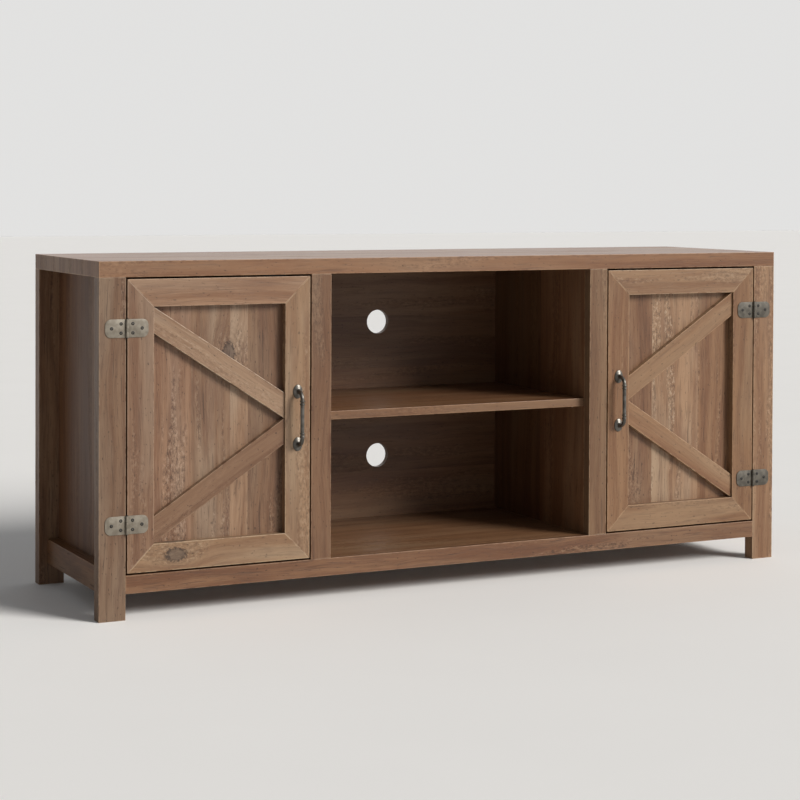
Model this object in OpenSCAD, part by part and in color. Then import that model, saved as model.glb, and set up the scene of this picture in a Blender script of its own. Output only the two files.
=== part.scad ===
// Farmhouse TV stand with two barn-style doors, an open centre bay and a shelf.
// Millimetres, +Z up, front towards -Y. The origin is on the floor, in the middle of the
// whole stand seen from above, handles included.

/* [Overall size] */
// Width across the two sides
width = 1473; // [1228:1:1768]
// Depth from the front posts to the back panels
depth = 400; // [334:1:480]
// Height from the floor to the top
height = 643; // [537:1:774]

/* [Boards] */
// Thickness of the top slab
slab_t = 29; // [24:1:36]
// Thickness of the bottom panel, partitions and shelves
board_t = 16; // [15:1:20]
// Thickness of the side panels
side_t = 15; // [15:1:18]
// How far the side panels lie in from the outer faces of the posts
side_recess = 40; // [32:1:42]
// Thickness of the back panels
back_t = 12; // [8:1:14]

/* [Posts] */
// Width of a post, seen from the front
post_w = 50; // [48:1:62]
// Depth of a post, front to back
post_d = 26; // [24:1:34]

/* [Rails and floor] */
// Height of the cabinet floor, the top face of the bottom panel
floor_z = 80; // [70:1:96]
// Height of the front rail
front_rail_h = 33; // [26:1:42]
// Thickness of the front rail
front_rail_t = 20; // [16:1:22]
// Height of a side rail
side_rail_h = 47; // [36:1:56]
// Lower edge of a side rail above the floor
side_rail_z = 41; // [34:1:50]
// How far a side rail lies in from the outer faces of the posts
side_rail_recess = 17; // [12:1:22]

/* [Centre bay] */
// Width of the open centre bay
bay_w = 568; // [474:1:680]
// Width of the stile on each side of the bay
stile_w = 40.5; // [34:0.5:50]
// Thickness of the stiles
stile_t = 20; // [17:1:20]
// Underside of the centre shelf above the floor
center_shelf_z = 337.5; // [300:0.5:400]
// Underside of the shelves behind the doors above the floor
side_shelf_z = 330; // [300:1:400]
// How far the centre shelf lies back from the front
center_shelf_set = 20; // [20:1:60]
// How far the shelves behind the doors lie back from the front
side_shelf_set = 60; // [45:1:90]
// Play at each end and at the back of a shelf
shelf_play = 1; // [0.5:0.5:3]
// Diameter of the two cable holes
cable_hole_d = 50; // [30:1:60]
// Height of the lower cable hole
cable_low_z = 209.5; // [180:0.5:230]
// Height of the upper cable hole
cable_high_z = 492; // [450:1:495]

/* [Doors] */
// Gap at the two sides of a door
gap_side = 3; // [1.5:0.5:4]
// Gap above and below a door
gap_end = 3.5; // [2:0.5:5]
// Thickness of the door frame
door_t = 22; // [18:1:24]
// Width of the frame boards
frame_w = 50; // [40:1:60]
// Thickness of the door panel
panel_t = 6; // [4:1:8]
// Overlap of the frame on the edge of the panel
panel_lap = 8; // [6:1:12]
// Play between the panel edge and its rebate
panel_play = 0.5; // [0.3:0.1:1]
// Width of a diagonal batten
batten_w = 40; // [30:1:50]
// Thickness of a batten
batten_t = 12; // [8:1:12]

/* [Hinges] */
// Height of a hinge
hinge_h = 33; // [28:1:40]
// Length of a leaf from the pin to its round end
leaf_l = 40.5; // [34:0.5:46]
// Thickness of a leaf
leaf_t = 1.4; // [1.2:0.1:1.6]
// Corner radius at the end of a leaf
leaf_r = 11; // [8:1:13]
// Diameter of the knuckles
knuckle_d = 5.4; // [5.2:0.1:6.4]
// Diameter of the hinge pin
pin_d = 2.6; // [2.2:0.1:2.8]
// Radial clearance of the pin in the door's knuckle
pin_clear = 0.05; // [0.02:0.01:0.09]
// Gap between neighbouring knuckles
knuckle_gap = 0.3; // [0.2:0.1:0.6]
// Centre of a hinge from the end of the door
hinge_inset = 87.5; // [70:0.5:110]
// Distance from the pin to the two near screws
screw_near = 11; // [9:0.5:12]
// Distance from the pin to the far screw
screw_far = 28.5; // [22:0.5:31]
// Distance between the two near screws
screw_pitch = 16.6; // [12:0.2:20]

/* [Handles] */
// Distance between the two fixing screws
handle_span = 98; // [80:1:128]
// Distance from the door to the middle of the bar
handle_reach = 22; // [20:0.5:30]
// Diameter of the bar
bar_d = 7.6; // [6:0.2:9]
// Diameter of the collars on the bar
collar_d = 10; // [9.4:0.2:11]
// Width of a rosette
rosette_w = 19; // [16:1:22]
// Height of a rosette
rosette_h = 26; // [24:1:32]
// Thickness of a rosette
rosette_t = 3; // [2:0.5:4]
// Diameter of the handle screws
handle_screw_d = 4; // [3:0.5:5]

/* [Fixings] */
// Diameter of the dowels
dowel_d = 8; // [6:1:8]
// Length of the dowels
dowel_l = 30; // [26:1:34]
// Diameter of a cam lock
cam_d = 15; // [12:1:15]
// Depth of a cam lock
cam_h = 12; // [10:0.5:12.5]
// Distance from the joint to the middle of the cam
cam_back = 34; // [24:1:34]
// Diameter of the bolt that the cam draws in
bolt_d = 6; // [5:0.5:7]
// Depth of the bolt's thread in the other board
bolt_grip = 11; // [9:1:12]
// Distance of the fixings from the front and the back
fix_inset = 75; // [65:1:90]
// Diameter of the shelf pins
shelf_pin_d = 5; // [4:0.5:6]
// Distance between neighbouring shelf pin holes
pin_pitch = 32; // [25:1:50]

/* [Catches] */
// Length of a magnetic catch
catch_l = 44; // [36:1:50]
// Depth of a magnetic catch
catch_d = 15; // [12:1:18]
// Height of a magnetic catch
catch_h = 13; // [10:1:14]
// Gap between the closed strike plate and the catch
catch_gap = 0.4; // [0.3:0.1:1]
// Thickness of the strike plate
strike_t = 1.2; // [1:0.1:2]
// Middle of the catch from the free edge of the door
catch_inset = 62; // [50:1:90]

/* [Hidden] */
$fn = 48;
oak = [0.59, 0.46, 0.36];
oak_pale = [0.66, 0.53, 0.42];
oak_dark = [0.42, 0.32, 0.25];
pewter = [0.40, 0.39, 0.36];
steel = [0.62, 0.62, 0.60];
zinc = [0.72, 0.72, 0.70];
plastic = [0.16, 0.15, 0.15];
beech = [0.80, 0.66, 0.48];

// Main planes, measured from the front faces at y = 0
slab_z = height - slab_t;
post_x = width / 2 - post_w;
side_x = width / 2 - side_recess;
side_in = side_x - side_t;
back_y = depth - back_t;
rear_y = depth - post_d;
bay_x = bay_w / 2;
part_out = bay_x + board_t;
part_mid = bay_x + board_t / 2;
stile_out = bay_x + stile_w;
bottom_z = floor_z - board_t;
front_rail_z = floor_z - front_rail_h;
side_rail_x = width / 2 - side_rail_recess;
side_rail_t = side_rail_x - side_x;

// Rebate in the rear posts that takes the back panels
rebate_w = 10;
rebate_play = 0.5;
back_x = post_x + rebate_w - rebate_play;

// Doors, drawn on the left with x from the hinge edge and z from the lower edge
door_x = post_x - gap_side;
door_w = door_x - gap_side - stile_out;
door_z = floor_z + gap_end;
door_h = slab_z - gap_end - door_z;
panel_y = door_t - panel_t;
panel_in = frame_w - panel_lap;
open_w = door_w - 2 * frame_w;
open_h = door_h - 2 * frame_w;

// Height of a batten's upright end cut, so that its width across the grain is batten_w
function end_cut(run, half, w) =
    (-w * w * half + sqrt(pow(w * w * half, 2) + (run * run - w * w) * w * w * (run * run + half * half)))
    / (run * run - w * w);
batten_cut = end_cut(open_w, open_h / 2, batten_w);

// Hinges: the pin stands in front of the middle of the gap
wood_gap = 0.3;
pin_x = -gap_side / 2;
pin_y = -knuckle_d / 2 - wood_gap;
knuckle_h = (hinge_h - 2 * knuckle_gap) / 3;
hinge_zs = [hinge_inset, door_h - hinge_inset];
leaf_set = knuckle_d / 2 + knuckle_gap;
pin_head_h = 1.2;
pin_head_d = pin_d + 2;
screw_d = 3;
screw_l = 13;
screw_head_d = 6.2;
screw_head_h = 0.9;
screw_play = 0.2;
leaf_screws = [
    [screw_near, -screw_pitch / 2],
    [screw_near, screw_pitch / 2],
    [screw_far, 0]
];

// Strike plates, just below the upper edge of each door
strike_h = 14;
strike_in = 1;
strike_pin_l = 8;

// Handle
handle_x = door_w - frame_w / 2;
handle_z = door_h / 2;
handle_r = 14;
collar_h = 3;
collar_edge = 0.7;
collar_in = 2;
collar_step = 6;
handle_head_d = 8;
handle_head_h = 2.5;
handle_tap = 9;

// Back to front place of the origin: the middle of the depth with the handles
handle_out = handle_reach + collar_d / 2;
origin_y = (handle_out - depth) / 2;

// Shelves
shelf_back = back_y - shelf_play;
pin_sink = 7;
pin_tongue = [12, 9, 3];
pin_collar_d = 9;
pin_collar_h = 1.4;
pin_inset = 45;
shelf_pin_ys = [center_shelf_set + pin_inset, shelf_back - pin_inset];
side_pin_ys = [side_shelf_set + pin_inset, shelf_back - pin_inset];

// Cam fixings: a place and a turn for each. Local +Z runs along the bolt into the other
// board, and local +X comes out of the face that takes the cam.
fix_ys = [fix_inset, depth - fix_inset];
side_mid = side_x - side_t / 2;
cam_play = 0.2;
top_cams = [
    for (s = [-1, 1])
        for (y = fix_ys)
            for (p = [[part_mid, s, board_t], [side_mid, -s, side_t]])
                [[s * p[0], y, slab_z], [0, 0, p[1] > 0 ? 0 : 180], p[2]]
];
part_foot_cams = [
    for (s = [-1, 1])
        for (y = fix_ys)
            [[s * part_mid, y, floor_z], [180, 0, s > 0 ? 0 : 180], board_t]
];
floor_cams = [
    for (s = [-1, 1])
        for (y = fix_ys)
            [[s * side_in, y, floor_z - board_t / 2], [0, 90, s > 0 ? 0 : 180], board_t]
];

// Dowels: the middle of each, and the way that it points
post_mid_x = width / 2 - post_w / 2;
top_dowels = [
    for (x = [-post_mid_x, post_mid_x])
        for (y = [post_d / 2, depth - post_d / 2])
            [[x, y, slab_z - 3], [0, 0, 0]]
];
front_rail_dowels = [
    for (s = [-1, 1]) [[s * post_x, front_rail_t / 2, front_rail_z + front_rail_h / 2], [0, 90, 0]]
];
floor_dowels = [
    for (x = [-width / 4, 0, width / 4]) [[x, front_rail_t + 5, floor_z - board_t / 2], [90, 0, 0]]
];
stile_dowels = [
    for (s = [-1, 1])
        for (z = [floor_z + 110, slab_z - 110])
            [[s * part_mid, stile_t + 5, z], [90, 0, 0]]
];
side_rail_dowels = [
    for (s = [-1, 1])
        for (y = [post_d + 2, rear_y - 2])
            [[s * (side_x + side_rail_t / 2), y, side_rail_z + side_rail_h / 2], [90, 0, 0]]
];
side_panel_dowels = [
    for (s = [-1, 1])
        for (y = [post_d + 2, rear_y - 2])
            for (z = [floor_z + 110, slab_z - 110])
                [[s * side_mid, y, z], [90, 0, 0]]
];

// Screws of the back panels, with flush heads
back_screw_d = 3;
back_screw_l = 24;
back_head_d = 6;
back_head_h = 1.6;
back_screw_off = 4.2;
back_screw_end = 25;
back_screw_step = (slab_z - floor_z - 2 * back_screw_end) / 4;
back_screw_zs = [for (k = [0 : 4]) floor_z + back_screw_end + k * back_screw_step];
back_screw_spots = concat(
    [
        for (s = [-1, 1])
            for (x = [part_mid - back_screw_off, part_mid + back_screw_off, post_x + rebate_w / 2])
                for (z = back_screw_zs)
                    [s * x, z]
    ],
    [
        for (x = [-width / 3, -bay_x / 2, 0, bay_x / 2, width / 3])
            [x, floor_z - board_t / 2]
    ]
);
back_screw_tip = depth - back_screw_l;

// ---- Placing ----

// Moves what is drawn from the front face to the stand's own origin
module placed() {
    translate([0, origin_y, 0]) children();
}

// Draws a left-hand piece, or its mirror image on the right
module handed(side) {
    if (side > 0) mirror([1, 0, 0]) children();
    else children();
}

// A box between two corners
module box(lo, hi) {
    translate(lo) cube(hi - lo);
}

// Moves to the lower hinge-side front corner of the left door
module on_door() {
    translate([-door_x, 0, door_z]) children();
}

// ---- Holes for the fixings ----

module dowel_bores(spots) {
    for (p = spots) translate(p[0]) rotate(p[1]) cylinder(d = dowel_d, h = dowel_l, center = true);
}

module cam_bores(spots) {
    for (p = spots) {
        translate(p[0]) rotate(p[1]) {
            translate([p[2] / 2 - cam_h, 0, -cam_back]) rotate([0, 90, 0])
                cylinder(d = cam_d, h = cam_h + 1);
            translate([0, 0, -cam_back]) cylinder(d = bolt_d + 1, h = cam_back);
            cylinder(d = bolt_d, h = bolt_grip);
        }
    }
}

module back_screw_bores() {
    for (p = back_screw_spots) {
        translate([p[0], back_screw_tip, p[1]]) rotate([-90, 0, 0])
            cylinder(d = back_screw_d, h = back_screw_l);
        translate([p[0], depth - back_head_h, p[1]]) rotate([-90, 0, 0])
            cylinder(d = back_head_d, h = back_head_h + 1);
    }
}

// Rows of holes for shelf pins, drilled into a face at x = 0 towards +X
module pin_holes(ys, z, count) {
    for (y = ys) {
        for (k = [-count : count]) {
            translate([0, y, z - shelf_pin_d / 2 + k * pin_pitch]) rotate([0, 90, 0])
                translate([0, 0, -1]) cylinder(d = shelf_pin_d, h = pin_sink + 1);
        }
    }
}

module screw_bores(depth_in) {
    for (z = hinge_zs) {
        for (p = leaf_screws) {
            translate([p[0], 0, z + p[1]]) rotate([-90, 0, 0]) cylinder(d = screw_d, h = depth_in);
        }
    }
}

// ---- Case ----

module top_slab() {
    color(oak) placed() difference() {
        box([-width / 2, 0, slab_z], [width / 2, depth, height]);
        cam_bores(top_cams);
        dowel_bores(top_dowels);
        catch_bores();
    }
}

module bottom_panel() {
    color(oak) placed() difference() {
        box([-side_in, front_rail_t, bottom_z], [side_in, back_y, floor_z]);
        cam_bores(part_foot_cams);
        cam_bores(floor_cams);
        dowel_bores(floor_dowels);
        back_screw_bores();
    }
}

module front_rail() {
    color(oak) placed() difference() {
        box([-post_x, 0, front_rail_z], [post_x, front_rail_t, floor_z]);
        dowel_bores(front_rail_dowels);
        dowel_bores(floor_dowels);
    }
}

module post_front(side) {
    color(oak) placed() difference() {
        handed(side) difference() {
            box([-width / 2, 0, 0], [-post_x, post_d, slab_z]);
            translate([pin_x - door_x, 0, door_z]) mirror([1, 0, 0]) screw_bores(screw_l - leaf_t);
        }
        dowel_bores(top_dowels);
        dowel_bores(front_rail_dowels);
        dowel_bores(side_rail_dowels);
        dowel_bores(side_panel_dowels);
    }
}

module post_rear(side) {
    color(oak_dark) placed() difference() {
        handed(side) difference() {
            box([-width / 2, rear_y, 0], [-post_x, depth, slab_z]);
            box([-post_x - rebate_w, back_y, bottom_z], [1 - post_x, depth + 1, slab_z + 1]);
        }
        dowel_bores(top_dowels);
        dowel_bores(side_rail_dowels);
        dowel_bores(side_panel_dowels);
        back_screw_bores();
    }
}

module side_panel(side) {
    color(oak_dark) placed() difference() {
        handed(side) difference() {
            box([-side_x, post_d, front_rail_z], [-side_in, rear_y, slab_z]);
            mirror([1, 0, 0]) translate([side_in, 0, 0]) pin_holes(side_pin_ys, side_shelf_z, 1);
        }
        cam_bores(top_cams);
        cam_bores(floor_cams);
        dowel_bores(side_panel_dowels);
    }
}

module side_rail(side) {
    color(oak_dark) placed() difference() {
        handed(side) box([-side_rail_x, post_d, side_rail_z], [-side_x, rear_y, side_rail_z + side_rail_h]);
        dowel_bores(side_rail_dowels);
    }
}

module partition(side) {
    color(oak_dark) placed() difference() {
        handed(side) difference() {
            box([-part_out, stile_t, floor_z], [-bay_x, back_y, slab_z]);
            translate([-part_out, 0, 0]) pin_holes(side_pin_ys, side_shelf_z, 1);
            mirror([1, 0, 0]) translate([bay_x, 0, 0]) pin_holes(shelf_pin_ys, center_shelf_z, 0);
        }
        cam_bores(top_cams);
        cam_bores(part_foot_cams);
        dowel_bores(stile_dowels);
        back_screw_bores();
    }
}

module bay_stile(side) {
    color(oak) placed() difference() {
        handed(side) box([-stile_out, 0, floor_z], [-bay_x, stile_t, slab_z]);
        dowel_bores(stile_dowels);
    }
}

// ---- Back ----

module back_panel(x0, x1) {
    color(oak_dark) placed() difference() {
        box([x0, back_y, bottom_z], [x1, depth, slab_z]);
        back_screw_bores();
        for (z = [cable_low_z, cable_high_z]) {
            translate([0, back_y - 1, z]) rotate([-90, 0, 0]) cylinder(d = cable_hole_d, h = back_t + 2);
        }
    }
}

// Flat-headed screws with a cross recess
module back_screws() {
    recess_w = 1;
    recess_l = 3.4;
    color(steel) placed() for (p = back_screw_spots) difference() {
        union() {
            translate([p[0], back_screw_tip, p[1]]) rotate([-90, 0, 0])
                cylinder(d = back_screw_d, h = back_screw_l);
            translate([p[0], depth - back_head_h, p[1]]) rotate([-90, 0, 0])
                cylinder(d = back_head_d, h = back_head_h);
        }
        translate([p[0] - recess_l / 2, depth - 1, p[1] - recess_w / 2]) cube([recess_l, 2, recess_w]);
        translate([p[0] - recess_w / 2, depth - 1, p[1] - recess_l / 2]) cube([recess_w, 2, recess_l]);
    }
}

// ---- Shelves ----

module shelf_center() {
    color(oak_pale) placed() box(
        [-bay_x + shelf_play, center_shelf_set, center_shelf_z],
        [bay_x - shelf_play, shelf_back, center_shelf_z + board_t]
    );
}

module shelf_side(side) {
    color(oak_dark) placed() handed(side) box(
        [-side_in + shelf_play, side_shelf_set, side_shelf_z],
        [-part_out - shelf_play, shelf_back, side_shelf_z + board_t]
    );
}

// One shelf pin in a face at x = 0, with its tongue towards -X
module shelf_pin() {
    translate([-pin_collar_h, 0, -shelf_pin_d / 2]) rotate([0, 90, 0])
        cylinder(d = shelf_pin_d, h = pin_collar_h + pin_sink);
    intersection() {
        translate([-pin_collar_h, 0, -shelf_pin_d / 2]) rotate([0, 90, 0])
            cylinder(d = pin_collar_d, h = pin_collar_h);
        box([-pin_collar_h, -pin_collar_d, -pin_collar_d], [0, pin_collar_d, 0]);
    }
    box([-pin_tongue[0], -pin_tongue[1] / 2, -pin_tongue[2]], [0, pin_tongue[1] / 2, 0]);
}

module shelf_pins() {
    color(steel) placed() for (side = [-1, 1]) {
        handed(side) {
            for (y = shelf_pin_ys) translate([-bay_x, y, center_shelf_z]) mirror([1, 0, 0]) shelf_pin();
            for (y = side_pin_ys) {
                translate([-part_out, y, side_shelf_z]) shelf_pin();
                translate([-side_in, y, side_shelf_z]) mirror([1, 0, 0]) shelf_pin();
            }
        }
    }
}

// ---- Hidden fixings ----

module dowels() {
    color(beech) placed() {
        dowel_bores(top_dowels);
        dowel_bores(front_rail_dowels);
        dowel_bores(floor_dowels);
        dowel_bores(stile_dowels);
        dowel_bores(side_rail_dowels);
        dowel_bores(side_panel_dowels);
    }
}

// A cam: a disc with a cross recess in its face and a way in for the bolt
module cam(bolt_in) {
    recess_w = 2;
    recess_l = 9;
    difference() {
        cylinder(d = cam_d - cam_play, h = cam_h - cam_play);
        translate([1, 0, bolt_in]) rotate([0, -90, 0]) cylinder(d = bolt_d + 1, h = cam_d);
        translate([-recess_l / 2, -recess_w / 2, cam_h - recess_w]) cube([recess_l, recess_w, recess_w]);
        translate([-recess_w / 2, -recess_l / 2, cam_h - recess_w]) cube([recess_w, recess_l, recess_w]);
    }
}

module cam_locks() {
    color(zinc) placed() for (p = concat(top_cams, part_foot_cams, floor_cams)) {
        translate(p[0]) rotate(p[1]) translate([p[2] / 2 - cam_h, 0, -cam_back]) rotate([0, 90, 0])
            cam(cam_h - p[2] / 2);
    }
}

module cam_bolts() {
    shank_d = bolt_d - 2;
    head_d = bolt_d - 0.5;
    head_h = 3;
    color(steel) placed() for (p = concat(top_cams, part_foot_cams, floor_cams)) {
        translate(p[0]) rotate(p[1]) {
            cylinder(d = bolt_d, h = bolt_grip);
            translate([0, 0, -cam_back]) cylinder(d = shank_d, h = cam_back);
            translate([0, 0, -cam_back]) cylinder(d = head_d, h = head_h);
        }
    }
}

// ---- Magnetic catches, under the slab behind the free edge of each door ----

catch_x = door_x - (door_w - catch_inset);
catch_y = door_t + strike_t + catch_gap;
catch_hole = catch_l / 2 - 6;
catch_screw_l = 12;

module catch_spots() {
    for (s = [-1, 1]) {
        for (k = [-1, 1]) translate([s * catch_x + k * catch_hole, catch_y + catch_d / 2, slab_z]) children();
    }
}

module catch_bores() {
    catch_spots() cylinder(d = screw_d, h = catch_screw_l);
}

module catch_body(side) {
    magnet_l = catch_l - 24;
    color(plastic) placed() difference() {
        handed(side) translate([-catch_x, catch_y, slab_z - catch_h]) {
            box([-catch_l / 2, 2, catch_h - 5], [catch_l / 2, catch_d, catch_h]);
            box([-magnet_l / 2, 0, 0], [magnet_l / 2, catch_d, catch_h]);
        }
        catch_spots() translate([0, 0, -catch_h]) cylinder(d = screw_d + 2 * screw_play, h = catch_h + 1);
    }
}

module catch_screws() {
    flange = 5;
    color(steel) placed() catch_spots() {
        translate([0, 0, -flange]) cylinder(d = screw_d, h = flange + catch_screw_l);
        translate([0, 0, -flange - 1.5]) cylinder(d = screw_head_d, h = 1.5);
    }
}

module strike_plate(side) {
    strike_w = 24;
    color(steel) placed() handed(side) on_door() {
        translate([door_w - catch_inset, door_t, door_h - strike_h / 2 - strike_in]) {
            translate([-strike_w / 2, 0, -strike_h / 2]) cube([strike_w, strike_t, strike_h]);
            rotate([90, 0, 0]) cylinder(d = screw_d, h = strike_pin_l);
        }
    }
}

// ---- Hinges ----

// Outline of a leaf from the pin, with a rounded outer end
module leaf_plate(inner) {
    r = leaf_r;
    difference() {
        union() {
            box([inner, -leaf_t, -hinge_h / 2], [leaf_l - r, 0, hinge_h / 2]);
            box([leaf_l - r - 1, -leaf_t, -hinge_h / 2 + r], [leaf_l, 0, hinge_h / 2 - r]);
            for (s = [-1, 1]) {
                translate([leaf_l - r, 0, s * (hinge_h / 2 - r)]) rotate([90, 0, 0])
                    cylinder(r = r, h = leaf_t);
            }
        }
        for (p = leaf_screws) {
            translate([p[0], 1, p[1]]) rotate([90, 0, 0])
                cylinder(d = screw_d + 2 * screw_play, h = leaf_t + 2);
        }
    }
}

// A knuckle with the tongue of metal that runs into its leaf
module knuckle(z0, h, bore) {
    difference() {
        union() {
            translate([0, pin_y, z0]) cylinder(d = knuckle_d, h = h);
            box([0, -leaf_t, z0], [leaf_set, -wood_gap, z0 + h]);
            box([leaf_set - 1, -leaf_t, z0], [leaf_set + 0.1, -wood_gap, z0 + h]);
        }
        translate([0, pin_y, z0 - 1]) cylinder(d = bore, h = h + 2);
    }
}

module post_leaf() {
    mirror([1, 0, 0]) {
        leaf_plate(leaf_set);
        for (z = [-hinge_h / 2, hinge_h / 2 - knuckle_h]) knuckle(z, knuckle_h, pin_d);
    }
}

module door_leaf() {
    leaf_plate(leaf_set);
    knuckle(-knuckle_h / 2, knuckle_h, pin_d + 2 * pin_clear);
}

module each_hinge() {
    for (z = hinge_zs) translate([pin_x, 0, z]) children();
}

module hinge_post_leaves(side) {
    color(pewter) placed() handed(side) on_door() each_hinge() post_leaf();
}

module door_hinge_leaves(side) {
    color(pewter) placed() handed(side) on_door() each_hinge() door_leaf();
}

module hinge_pins(side) {
    color(pewter) placed() handed(side) on_door() each_hinge() translate([0, pin_y, 0]) {
        cylinder(d = pin_d, h = hinge_h, center = true);
        for (s = [-1, 1]) {
            translate([0, 0, s * (hinge_h + pin_head_h) / 2])
                cylinder(d = pin_head_d, h = pin_head_h, center = true);
        }
    }
}

module leaf_screw_set() {
    for (p = leaf_screws) translate([p[0], -leaf_t, p[1]]) {
        rotate([-90, 0, 0]) cylinder(d = screw_d, h = screw_l);
        rotate([90, 0, 0]) cylinder(d1 = screw_head_d, d2 = screw_head_d - 1.6, h = screw_head_h);
    }
}

module hinge_post_screws() {
    color(plastic) placed() for (side = [-1, 1]) {
        handed(side) on_door() each_hinge() mirror([1, 0, 0]) leaf_screw_set();
    }
}

module door_hinge_screws(side) {
    color(plastic) placed() handed(side) on_door() each_hinge() leaf_screw_set();
}

// ---- Doors ----

module frame_board(outline) {
    rotate([90, 0, 0]) mirror([0, 0, 1]) linear_extrude(height = door_t) polygon(outline);
}

// The rebate behind the inner edge of the frame, which takes the panel
module panel_rebate() {
    box([panel_in, panel_y, panel_in], [door_w - panel_in, door_t + 1, door_h - panel_in]);
}

module hinge_stile(side) {
    color(oak_pale) placed() handed(side) on_door() difference() {
        frame_board([[0, 0], [frame_w, frame_w], [frame_w, door_h - frame_w], [0, door_h]]);
        panel_rebate();
        translate([pin_x, 0, 0]) screw_bores(screw_l - leaf_t);
    }
}

module handle_stile(side) {
    color(oak_pale) placed() handed(side) on_door() difference() {
        frame_board([
            [door_w, 0],
            [door_w - frame_w, frame_w],
            [door_w - frame_w, door_h - frame_w],
            [door_w, door_h]
        ]);
        panel_rebate();
        for (s = [-1, 1]) {
            translate([handle_x, -1, handle_z + s * handle_span / 2]) rotate([-90, 0, 0])
                cylinder(d = handle_screw_d + 2 * screw_play, h = door_t + 2);
        }
    }
}

module bottom_rail(side) {
    color(oak_pale) placed() handed(side) on_door() difference() {
        frame_board([[0, 0], [door_w, 0], [door_w - frame_w, frame_w], [frame_w, frame_w]]);
        panel_rebate();
    }
}

module top_rail(side) {
    color(oak_pale) placed() handed(side) on_door() difference() {
        frame_board([
            [0, door_h],
            [door_w, door_h],
            [door_w - frame_w, door_h - frame_w],
            [frame_w, door_h - frame_w]
        ]);
        panel_rebate();
        translate([door_w - catch_inset, door_t, door_h - strike_h / 2 - strike_in]) rotate([90, 0, 0])
            cylinder(d = screw_d, h = strike_pin_l);
    }
}

module door_panel(side) {
    lo = panel_in + panel_play;
    color(oak) placed() handed(side) on_door() box([lo, panel_y, lo], [door_w - lo, door_t, door_h - lo]);
}

// A batten from a corner on the hinge side to the middle of the handle side
module batten(side, upper) {
    far = frame_w + open_w;
    color(oak_pale) placed() handed(side) on_door() translate([0, panel_y - batten_t, door_h / 2])
        rotate([90, 0, 0]) mirror([0, 0, 1]) mirror([0, upper ? 0 : 1, 0])
            linear_extrude(height = batten_t) polygon([
                [frame_w, open_h / 2],
                [frame_w, open_h / 2 - batten_cut],
                [far, 0],
                [far, batten_cut]
            ]);
}

// ---- Handles ----

// A quarter bend from the rosette's neck into the bar
module bend() {
    rotate_extrude(angle = 90) translate([handle_r, 0]) circle(d = bar_d);
}

// A plate with round ends, standing on the door
module slot_plate(w, h, t) {
    straight = (h - w) / 2;
    rotate([90, 0, 0]) {
        for (s = [-1, 1]) translate([0, s * straight, 0]) cylinder(d = w, h = t);
        translate([-w / 2, -straight, 0]) cube([w, 2 * straight, t]);
    }
}

// An oval rosette with a step round its edge
module rosette() {
    step = 1.6;
    slot_plate(rosette_w, rosette_h, rosette_t - 1);
    slot_plate(rosette_w - 2 * step, rosette_h - 2 * step, rosette_t);
}

// A collar with chamfered edges
module collar() {
    r = collar_d / 2;
    half = collar_h / 2;
    rotate_extrude() polygon([
        [0, -half],
        [r - collar_edge, -half],
        [r, collar_edge - half],
        [r, half - collar_edge],
        [r - collar_edge, half],
        [0, half]
    ]);
}

module door_handle(side) {
    half = handle_span / 2;
    bar_half = half - handle_r;
    color(pewter) placed() handed(side) on_door() translate([handle_x, 0, handle_z]) difference() {
        union() {
            translate([0, -handle_reach, 0]) cylinder(d = bar_d, h = 2 * bar_half, center = true);
            for (s = [-1, 1]) {
                translate([0, 0, s * half]) rosette();
                translate([0, 0, s * half]) rotate([90, 0, 0])
                    cylinder(d = bar_d, h = handle_reach - handle_r);
                translate([0, handle_r - handle_reach, s * bar_half]) mirror([0, 0, s > 0 ? 0 : 1])
                    rotate([0, -90, 0]) rotate([0, 0, -90]) bend();
                for (k = [0, 1]) {
                    translate([0, -handle_reach, s * (bar_half - collar_in - k * collar_step)]) collar();
                }
            }
        }
        for (s = [-1, 1]) {
            translate([0, 1, s * half]) rotate([90, 0, 0]) cylinder(d = handle_screw_d, h = handle_tap + 1);
        }
    }
}

module handle_screws(side) {
    color(steel) placed() handed(side) on_door() for (s = [-1, 1]) {
        translate([handle_x, door_t, handle_z + s * handle_span / 2]) {
            rotate([90, 0, 0]) cylinder(d = handle_screw_d, h = door_t + handle_tap);
            rotate([-90, 0, 0]) cylinder(d = handle_head_d, h = handle_head_h);
        }
    }
}

// ---- Parts ----

top_slab();
bottom_panel();
front_rail();
post_front(-1);  // post_front_left
post_front(1);  // post_front_right
post_rear(-1);  // post_rear_left
post_rear(1);  // post_rear_right
side_panel(-1);  // side_panel_left
side_panel(1);  // side_panel_right
side_rail(-1);  // side_rail_left
side_rail(1);  // side_rail_right
partition(-1);  // partition_left
partition(1);  // partition_right
bay_stile(-1);  // bay_stile_left
bay_stile(1);  // bay_stile_right
back_panel(-back_x, -part_mid);  // back_panel_left
back_panel(-part_mid, part_mid);  // back_panel_center
back_panel(part_mid, back_x);  // back_panel_right
shelf_center();
shelf_side(-1);  // shelf_left
shelf_side(1);  // shelf_right
shelf_pins();
dowels();
cam_locks();
cam_bolts();
back_screws();
catch_body(-1);  // catch_left
catch_body(1);  // catch_right
catch_screws();
hinge_post_leaves(-1);  // hinge_post_leaves_left
hinge_post_leaves(1);  // hinge_post_leaves_right
hinge_pins(-1);  // hinge_pins_left
hinge_pins(1);  // hinge_pins_right
hinge_post_screws();
hinge_stile(-1);  // door_left_hinge_stile
handle_stile(-1);  // door_left_handle_stile
top_rail(-1);  // door_left_top_rail
bottom_rail(-1);  // door_left_bottom_rail
door_panel(-1);  // door_left_panel
batten(-1, true);  // door_left_upper_batten
batten(-1, false);  // door_left_lower_batten
door_handle(-1);  // door_left_handle
handle_screws(-1);  // door_left_handle_screws
strike_plate(-1);  // door_left_strike
door_hinge_leaves(-1);  // door_left_hinge_leaves
door_hinge_screws(-1);  // door_left_hinge_screws
hinge_stile(1);  // door_right_hinge_stile
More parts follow.
